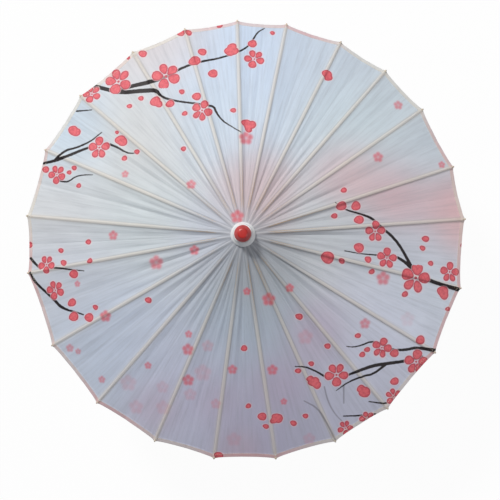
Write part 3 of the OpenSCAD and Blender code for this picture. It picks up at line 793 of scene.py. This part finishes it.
blend = add_node(tree, "ShaderNodeMixShader", {0: 0.22})
join(tree, bsdf.outputs[0], blend.inputs[1])
join(tree, through.outputs[0], blend.inputs[2])
join(tree, blend.outputs[0], tree.nodes["Material Output"].inputs["Surface"])
for piece, _, _ in panels:
    piece.data.materials.append(cloth)

# %% [markdown]
# ## Metal, plastic, lacquer and thread
# These are smooth, so what gives them away is how dust and handling dull them.
# A wear group gives a slow noise for smudges and a fine one for scratches, and
# each material uses them in its own amount.

# %% Wear group
wear, g_in, g_out = new_group("wear", [("Smudge size", "NodeSocketFloat", 60.0)],
                              [("Smudges", "NodeSocketFloat"), ("Specks", "NodeSocketFloat")])
spot = add_node(wear, "ShaderNodeTexCoord").outputs["Object"]
big = add_node(wear, "ShaderNodeTexNoise", {"Detail": 4.0})
join(wear, spot, big.inputs["Vector"])
join(wear, g_in.outputs["Smudge size"], big.inputs["Scale"])
join(wear, big.outputs["Fac"], g_out.inputs["Smudges"])
small = add_node(wear, "ShaderNodeTexNoise", {"Scale": 1400.0, "Detail": 2.0})
join(wear, spot, small.inputs["Vector"])
join(wear, small.outputs["Fac"], g_out.inputs["Specks"])


def worn(name, colour, dull, rough, spread, bumpy=0.05, **sockets):
    material, tree, bsdf = new_material(name, **sockets)
    look = use_group(tree, wear)
    mixed = mix_colour(tree, map_range(tree, look.outputs["Smudges"], 0.4, 0.75, 0, 0.6), colour, dull)
    mixed = mix_colour(tree, map_range(tree, look.outputs["Specks"], 0.62, 0.75, 0, 0.35), mixed, dull)
    join(tree, mixed, bsdf.inputs["Base Color"])
    roughness = map_range(tree, look.outputs["Smudges"], 0.3, 0.7, rough, rough + spread)
    join(tree, roughness, bsdf.inputs["Roughness"])
    bump = add_node(tree, "ShaderNodeBump", {"Strength": bumpy, "Distance": 0.0002})
    join(tree, look.outputs["Specks"], bump.inputs["Height"])
    join(tree, bump.outputs[0], bsdf.inputs["Normal"])
    return material


brass = worn("dull brass", linear(206, 164, 92), linear(130, 98, 52), 0.28, 0.2, Metallic=1.0)
wire = worn("drawn wire", linear(168, 168, 170), linear(110, 106, 102), 0.3, 0.2, Metallic=1.0)
cap_white = worn("white cap", linear(238, 240, 242), linear(214, 212, 206), 0.22, 0.15, Coat_Weight=0.3)
red_lacquer = worn("red lacquer", linear(190, 38, 32), linear(140, 24, 24), 0.34, 0.14,
                   Coat_Weight=0.5, Coat_Roughness=0.3)
thread = worn("cotton thread", linear(226, 216, 196), linear(190, 178, 156), 0.8, 0.1, 0.3)

# %% [markdown]
# ## Finishing the frame's own pieces
# Ribs, stretchers, hubs and the shaft are already the right shape. They only
# get their material and a small bevel, because a cut edge that is perfectly
# sharp never catches the light. Their faces come in as loose triangles, so a
# Weld modifier joins them before the bevel looks for edges.

# %% Materials and bevels
def soften(piece, width):
    weld = piece.modifiers.new("weld", "WELD")
    weld.merge_threshold = 0.00001
    bevel = piece.modifiers.new("bevel", "BEVEL")
    bevel.width, bevel.segments, bevel.limit_method = width * MM, 2, "ANGLE"
    bevel.angle_limit = math.radians(40)


FINISH = {
    "shaft": (bamboo_shaft, 0.15), "top_hub": (hub_wood, 0.15), "runner": (hub_wood, 0.15),
    "hub_wire": (wire, 0), "runner_wire": (wire, 0), "hub_peg": (peg_wood, 0.2), "stop_peg": (peg_wood, 0.3),
    "catch": (brass, 0.15), "catch_pin": (wire, 0.1), "catch_spring": (wire, 0),
}
for name, node in frame["nodes"].items():
    kind = name.split("_")[0]
    if kind == "rib":
        finish, bevel = bamboo_rib, 0.25
    elif kind == "stretcher":
        finish, bevel = bamboo_stretcher, 0.2
    elif name in FINISH:
        finish, bevel = FINISH[name]
    else:
        continue
    node.data.materials.clear()
    node.data.materials.append(finish)
    if bevel:
        soften(node, bevel)

# %% [markdown]
# ## Turned pieces
# The knob, the cap, the grip, its ring and the end button were all made on a
# lathe. Each is a profile of radius and height, spun round the shaft. They
# replace the frame's plainer ones and keep to the same sizes, with the beads
# and rounded lips that a turner leaves.

# %% The lathe
def arc(cx, cz, rx, rz, start, end, steps):
    """Points of radius and height on part of an oval, in degrees."""
    return [(cx + rx * math.cos(math.radians(start + (end - start) * i / steps)),
             cz + rz * math.sin(math.radians(start + (end - start) * i / steps))) for i in range(steps + 1)]


def turned(name, profile, material, body, node, steps=96):
    """Spins a closed profile round the shaft. It is given anticlockwise, seen with +Z up."""
    count = len(profile)
    points = [(r * math.cos(a), r * math.sin(a), z) for a in
              [2 * math.pi * i / steps for i in range(steps)] for r, z in profile]
    faces = []
    for i in range(steps):
        here, there = i * count, (i + 1) % steps * count
        for j in range(count):
            k = (j + 1) % count
            faces.append((here + j, there + j, there + k, here + k))
    piece = new_piece(name, points, faces)
    mesh = piece.data
    work = bmesh.new()
    work.from_mesh(mesh)
    bmesh.ops.remove_doubles(work, verts=work.verts, dist=1e-6)
    bmesh.ops.recalc_face_normals(work, faces=work.faces)
    work.to_mesh(mesh)
    work.free()
    mesh.set_sharp_from_angle(angle=math.radians(38))
    mesh.materials.append(material)
    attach(piece, body)
    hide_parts(node)
    return piece


def cloth_level(r):
    return PIVOT_Z + RISE + 0.95 - (r - PIVOT_R) * math.tan(SLOPE)


BORE, TOP = 6.55, PIVOT_Z + 22
turned("bell_cap", [
    (18.3, cloth_level(18.3)), (21.1, cloth_level(21.1)), (21.5, cloth_level(21.5) + 0.4),
    (21.5, cloth_level(21.5) + 2.4), (21.2, cloth_level(21.5) + 3.0),
    *arc(22.3, TOP - 2.4, 6.3, 13.4, 246, 184, 12), *arc(15.2, TOP - 0.8, 0.8, 0.8, 0, 90, 4),
    (BORE, TOP), (BORE, PIVOT_Z + 4.6), (18.3, PIVOT_Z + 4.6),
], cap_white, "frame", "cap")
turned("round_knob", [
    (BORE, TOP + 0.05), (10.2, TOP + 0.05), *arc(10.5, TOP + 0.9, 0.5, 0.8, -60, 60, 4),
    *arc(9.5, TOP + 5.0, 5.0, 3.6, -70, 20, 8), (13.7, TOP + 7.4), (12.6, TOP + 9.4), (11.3, TOP + 11.5),
    (10.0, TOP + 13.4), *arc(5.8, TOP + 13.2, 3.8, 3.7, 22, 84, 8), (3.0, TOP + 17.0), (0.0, TOP + 17.05),
    (0.0, TOP + 8.0), (BORE, TOP + 8.0),
], red_lacquer, "frame", "knob")
turned("turned_grip", [
    (BORE, 5), *arc(8.8, 6, 1, 1, -90, 0, 5), *arc(9.8, 14, -1.2, 2, -90, 90, 12),
    (9.8, 18.4), (10.0, 19.2), (10.0, 26), *arc(10.0, 29, -0.5, 0.7, -90, 90, 6),
    *arc(10.0, 32, -0.5, 0.7, -90, 90, 6), (10.0, 52), *arc(10.0, 54.6, -0.5, 0.7, -90, 90, 6),
    (10.0, 66), *arc(10.0, 73, 1.2, 5, -60, 60, 10), (9.4, 77.8), (9.0, 78), (BORE, 78),
], grip_wood, "frame", "grip")
turned("brass_ring", [
    (BORE, 78), (8.2, 78), *arc(8.0, 79.5, 0.8, 1.3, -70, 70, 8), *arc(8.0, 82.3, 0.8, 1.3, -70, 70, 8),
    (8.0, 84), (BORE, 84),
], brass, "frame", "grip_ring")
turned("turned_button", [
    (0.0, 0), (7.7, 0), *arc(7.9, 0.6, 0.6, 0.6, -80, 0, 4), (9.0, 2.6),
    *arc(9.0, 3.9, 0.5, 1.0, -70, 80, 8),
    (6.5, 4.95), (6.5, 10), (0.0, 10),
], grip_wood, "frame", "end_button")

# %% [markdown]
# ## Thread
# Cotton thread ties the cloth to each rib tip and whips the rib on both sides
# of its slit, so that the bamboo can't split. A whipping is one coil wound on
# an oval. Geometry Nodes make the coil from named sizes; the result is turned
# into a plain mesh, laid on each rib and joined, one piece for each rib.

# %% Geometry Nodes: a coil of thread
def new_geometry_group(name, inputs):
    group = bpy.data.node_groups.new(name, "GeometryNodeTree")
    group.interface.new_socket("Geometry", in_out="INPUT", socket_type="NodeSocketGeometry")
    sockets = {}
    for key, kind, value in inputs:
        socket = group.interface.new_socket(key, in_out="INPUT", socket_type=kind)
        if value is not None:
            socket.default_value = value
        sockets[key] = socket.identifier
    group.interface.new_socket("Geometry", in_out="OUTPUT", socket_type="NodeSocketGeometry")
    return group, add_node(group, "NodeGroupInput"), add_node(group, "NodeGroupOutput"), sockets


def finish_tree(group, geometry, g_in, g_out):
    """Every tree ends by making instances real and giving them their material."""
    real = add_node(group, "GeometryNodeRealizeInstances")
    paint = add_node(group, "GeometryNodeSetMaterial")
    join(group, geometry, real.inputs[0])
    join(group, real.outputs[0], paint.inputs[0])
    join(group, g_in.outputs["Material"], paint.inputs["Material"])
    join(group, paint.outputs[0], g_out.inputs[0])


def grown_mesh(group, sockets, values, base=None):
    """Runs a tree on a base mesh, or on nothing, and returns the plain mesh it makes."""
    holder = bpy.data.objects.new("holder", base or bpy.data.meshes.new("holder"))
    bpy.context.scene.collection.objects.link(holder)
    modifier = holder.modifiers.new("grow", "NODES")
    modifier.node_group = group
    for key, value in values.items():
        modifier[sockets[key]] = value
    holder.update_tag()
    bpy.context.view_layer.update()
    mesh = bpy.data.meshes.new_from_object(holder.evaluated_get(bpy.context.evaluated_depsgraph_get()))
    bpy.data.objects.remove(holder)
    return mesh


coil, g_in, g_out, coil_sockets = new_geometry_group("thread coil", [
    ("Turns", "NodeSocketFloat", 5.0), ("Length", "NodeSocketFloat", 0.0028),
    ("Half width", "NodeSocketFloat", 0.0023), ("Half height", "NodeSocketFloat", 0.0021),
    ("Thread radius", "NodeSocketFloat", 0.00026), ("Material", "NodeSocketMaterial", None)])
spiral = add_node(coil, "GeometryNodeCurveSpiral",
                  {"Resolution": 14, "Start Radius": 1.0, "End Radius": 1.0})
join(coil, g_in.outputs["Turns"], spiral.inputs["Rotations"])
join(coil, g_in.outputs["Length"], spiral.inputs["Height"])
oval = add_node(coil, "ShaderNodeCombineXYZ", {2: 1.0})
join(coil, g_in.outputs["Half height"], oval.inputs[0])
join(coil, g_in.outputs["Half width"], oval.inputs[1])
shape = add_node(coil, "GeometryNodeTransform")
join(coil, spiral.outputs[0], shape.inputs["Geometry"])
join(coil, oval.outputs[0], shape.inputs["Scale"])
strand = add_node(coil, "GeometryNodeCurvePrimitiveCircle", {"Resolution": 6})
join(coil, g_in.outputs["Thread radius"], strand.inputs["Radius"])
tube = add_node(coil, "GeometryNodeCurveToMesh", {"Fill Caps": True})
join(coil, shape.outputs[0], tube.inputs["Curve"])
join(coil, strand.outputs[0], tube.inputs["Profile Curve"])
finish_tree(coil, tube.outputs[0], g_in, g_out)

# %% Lay the coils on the ribs
def in_rib(rib, x, y, z):
    """A place given along, across and above a rib, in mm, as a matrix in the open umbrella."""
    turn = Matrix.Rotation(rib["turn"], 4, "Z") @ Matrix.Translation((PIVOT_R * MM, 0, PIVOT_Z * MM))
    return turn @ Matrix.Rotation(SLOPE, 4, "Y") @ Matrix.Translation((x * MM, y * MM, z * MM)) \
        @ Matrix.Rotation(math.pi / 2, 4, "Y")


def joined(name, copies):
    """One object from (mesh, matrix) pairs."""
    work = bmesh.new()
    for mesh, matrix in copies:
        moved = mesh.copy()
        moved.transform(matrix)
        work.from_mesh(moved)
        bpy.data.meshes.remove(moved)
    mesh = bpy.data.meshes.new(name)
    work.to_mesh(mesh)
    work.free()
    mesh.materials.append(thread)
    mesh.shade_smooth()
    piece = bpy.data.objects.new(name, mesh)
    bpy.context.scene.collection.objects.link(piece)
    return piece


whipping = grown_mesh(coil, coil_sockets, {"Material": thread, "Half width": 0.0024, "Half height": 0.00205})
tip_tie = grown_mesh(coil, coil_sockets, {"Material": thread, "Turns": 4.0, "Length": 0.0022,
                                          "Half width": 0.0019, "Half height": 0.0021})
for rib in ribs:
    tie = joined(f"thread_{rib['number']}", [
        (whipping, in_rib(rib, LINK - 16, 0, 0)), (whipping, in_rib(rib, LINK + 58, 0, 0)),
        (tip_tie, in_rib(rib, RIB_LEN - 5.5, 0, 1.5)),
    ])
    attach(tie, rib["body"])
print("thread on each rib:", len(tie.data.polygons), "faces")

# %% [markdown]
# ## Hem stitches
# The doubled edge is sewn down with a running stitch about 2.5 mm long. A tree
# walks the line of the hem at an even distance, lays one short stitch at each
# step along that line, and makes them real. They become part of the panel, in
# thread.

# %% Geometry Nodes: a running stitch
running, g_in, g_out, running_sockets = new_geometry_group("running stitch", [
    ("Step", "NodeSocketFloat", 0.0042), ("Stitch length", "NodeSocketFloat", 0.0026),
    ("Thread radius", "NodeSocketFloat", 0.00025), ("Material", "NodeSocketMaterial", None)])
walk = add_node(running, "GeometryNodeMeshToCurve")
join(running, g_in.outputs["Geometry"], walk.inputs["Mesh"])
steps = add_node(running, "GeometryNodeCurveToPoints", mode="LENGTH")
join(running, walk.outputs[0], steps.inputs["Curve"])
join(running, g_in.outputs["Step"], steps.inputs["Length"])
stitch = add_node(running, "GeometryNodeMeshCylinder", {"Vertices": 6})
join(running, g_in.outputs["Thread radius"], stitch.inputs["Radius"])
join(running, g_in.outputs["Stitch length"], stitch.inputs["Depth"])
aligned = add_node(running, "FunctionNodeAlignRotationToVector", axis="Z")
join(running, steps.outputs["Tangent"], aligned.inputs["Vector"])
laid = add_node(running, "GeometryNodeInstanceOnPoints")
join(running, steps.outputs["Points"], laid.inputs["Points"])
join(running, stitch.outputs["Mesh"], laid.inputs["Instance"])
join(running, aligned.outputs["Rotation"], laid.inputs["Rotation"])
finish_tree(running, laid.outputs[0], g_in, g_out)

# %% Sew the panels
HEM_LINE = RIM_R - HEM + 1.2
sewn = 0
for piece, rib, side in panels:
    if not side:
        continue
    gore = rib if side > 0 else next(r for r in ribs if r["next"] is rib)
    edge = 1 - ridge_half(HEM_LINE) / (HEM_LINE * math.sin(gore["gap"] / 2))
    line = gore_point(gore, np.full(COLUMNS, HEM_LINE), -side * edge * (1 - ACROSS))
    line[:, 2] += hem_rise(RIM_R) + 0.15
    path = bpy.data.meshes.new("hem line")
    path.from_pydata((line * MM).tolist(), [(i, i + 1) for i in range(COLUMNS - 1)], [])
    stitches = grown_mesh(running, running_sockets, {"Material": thread}, path)
    work = bmesh.new()
    work.from_mesh(piece.data)
    cloth_faces = len(work.faces)
    work.from_mesh(stitches)
    work.faces.ensure_lookup_table()
    for face in work.faces[cloth_faces:]:
        face.material_index = 1
    work.to_mesh(piece.data)
    work.free()
    piece.data.materials.append(thread)
    sewn += (len(piece.data.polygons) - cloth_faces) // 8
print("stitches:", sewn)

# %% [markdown]
# ## How the cloth rides, and the room for its pleats
# A band rides on its rib, and each panel rides on the same rib, with a mesh of
# its own. Closing the umbrella would flatten a panel sideways beside its rib,
# along a slightly tilted line, into a pleat that dives in beside the rib. For
# each gore the largest tilt is found at which both its panels, flattened so,
# stay in their own halves; the panels are not flattened here.

# %% Ride, and the pleat tilts
FOLD = math.radians(67.3)
KEEP = 0.006                       # share of a panel's width that is left when it is folded
LEAST_ROOM = 0.04                  # between a folded panel and the middle of its gore, mm
BESIDE_HUB, BESIDE_TIP = 1.2, 2.3  # from a rib's middle to its pleat, mm


def pleat_plane(rib, side, tilt):
    """The direction in which a panel is squashed flat beside its rib, and a point of that plane."""
    e = np.array([math.cos(rib["turn"]), math.sin(rib["turn"]), 0])
    t = np.array([-e[1], e[0], 0]) * side
    up = e * math.sin(SLOPE) + np.array([0, 0, math.cos(SLOPE)])
    out = e * math.cos(SLOPE) - np.array([0, 0, math.sin(SLOPE)])
    axis = t * math.sqrt(1 - tilt ** 2) + up * tilt - out * (BESIDE_TIP - BESIDE_HUB) / RIB_LEN
    anchor = e * PIVOT_R + np.array([0, 0, PIVOT_Z + RISE + 0.4]) + t * BESIDE_HUB
    return e, t, axis / np.linalg.norm(axis), anchor


def folded_room(rib, side, half, grid, tilt):
    """The least room, in mm, between a folded panel and the middle of its gore."""
    e, t, axis, anchor = pleat_plane(rib, side, tilt)
    from_pivot = grid - ((grid - anchor) @ axis)[:, None] * axis * (1 - KEEP)
    from_pivot = from_pivot - e * PIVOT_R - np.array([0, 0, PIVOT_Z])
    swung = from_pivot @ e * math.cos(FOLD) + from_pivot[:, 2] * math.sin(FOLD) + PIVOT_R
    return (swung * math.tan(half) - from_pivot @ t).min()


def pleat_tilt(gore):
    """The largest tilt, as a sine, at which both panels of a gore stay in their own halves."""
    halves = [(gore, 1, gore["gap"] / 2, panel_points(gore, 1).reshape(-1, 3)),
              (gore["next"], -1, gore["gap"] / 2, panel_points(gore, -1).reshape(-1, 3))]
    for tilt in np.arange(0.1, 0, -0.005):
        if all(folded_room(*half, tilt) > LEAST_ROOM for half in halves):
            return tilt
    return 0.0


tilts = {rib["number"]: pleat_tilt(rib) for rib in ribs}
for piece, rib, side in panels:
    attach(piece, rib["body"])
    if side:
        gore = rib if side > 0 else next(r for r in ribs if r["next"] is rib)
        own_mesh(piece)
    if not side:
        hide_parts("canopy")
print("pleat tilts", sorted({round(float(tilt), 3) for tilt in tilts.values()}))

# %% [markdown]
# ## Camera, floor and light
# The umbrella is seen from almost straight above. The floor is plain and pale,
# one large soft light stands behind and to the left, and a weak sky fills the
# shadows.

# %% Camera
scene = bpy.context.scene
scene.view_settings.view_transform = "Standard"
camera_data = bpy.data.cameras.new("camera")
camera_data.lens, camera_data.sensor_width = 62.95, 36
camera = bpy.data.objects.new("camera", camera_data)
eye, aim = Vector((0.0355, -0.0813, 2.003)), Vector((0.0108, -0.0242, 0.435))
back = (eye - aim).normalized()
right = Vector((0, 1, 0)).cross(back).normalized()
turn = Matrix((right, back.cross(right), back)).transposed()
camera.matrix_world = Matrix.Translation(eye) @ turn.to_4x4()
scene.collection.objects.link(camera)
scene.camera = camera

# %% Floor, sky and lights
floor = new_piece("floor", [(-9000, -9000, -1), (9000, -9000, -1), (9000, 9000, -1), (-9000, 9000, -1)],
                  [(0, 1, 2, 3)], smooth=False)
pale, tree, bsdf = new_material("pale floor", Base_Color=(0.86, 0.86, 0.86, 1), Roughness=0.9)
glow = add_node(tree, "ShaderNodeEmission", {"Color": (1, 1, 1, 1), "Strength": 1.0})
seen = add_node(tree, "ShaderNodeLightPath")
blend = add_node(tree, "ShaderNodeMixShader")
join(tree, calculate(tree, "MULTIPLY", seen.outputs["Is Camera Ray"], 0.96), blend.inputs[0])
join(tree, bsdf.outputs[0], blend.inputs[1])
join(tree, glow.outputs[0], blend.inputs[2])
join(tree, blend.outputs[0], tree.nodes["Material Output"].inputs["Surface"])
floor.data.materials.append(pale)

world = bpy.data.worlds.new("sky")
world.use_nodes = True
scene.world = world
sky = world.node_tree.nodes["Background"]
sky.inputs["Color"].default_value = (0.86, 0.92, 1.0, 1)
sky.inputs["Strength"].default_value = 0.21
backdrop = add_node(world.node_tree, "ShaderNodeBackground",
                    {"Color": (0.93, 0.94, 0.95, 1), "Strength": 1.0})
seen = add_node(world.node_tree, "ShaderNodeLightPath")
blend = add_node(world.node_tree, "ShaderNodeMixShader")
join(world.node_tree, seen.outputs["Is Camera Ray"], blend.inputs[0])
join(world.node_tree, sky.outputs[0], blend.inputs[1])
join(world.node_tree, backdrop.outputs[0], blend.inputs[2])
join(world.node_tree, blend.outputs[0], world.node_tree.nodes["World Output"].inputs["Surface"])


def soft_light(name, place, aim, size, power, colour=(1, 1, 1)):
    data = bpy.data.lights.new(name, "AREA")
    data.shape, data.size, data.energy, data.color = "DISK", size, power, colour
    light = bpy.data.objects.new(name, data)
    light.matrix_world = Matrix.Translation(place) @ (
        Vector(aim) - Vector(place)).to_track_quat("-Z", "Y").to_matrix().to_4x4()
    scene.collection.objects.link(light)


soft_light("key", (-1.1, 1.6, 2.75), (0, 0, 0.45), 0.5, 78, (1.0, 0.985, 0.96))
soft_light("fill", (2.2, -0.8, 1.8), (0, 0, 0.4), 1.6, 15, (1.0, 0.95, 0.95))
print("camera at", [round(v, 3) for v in eye])
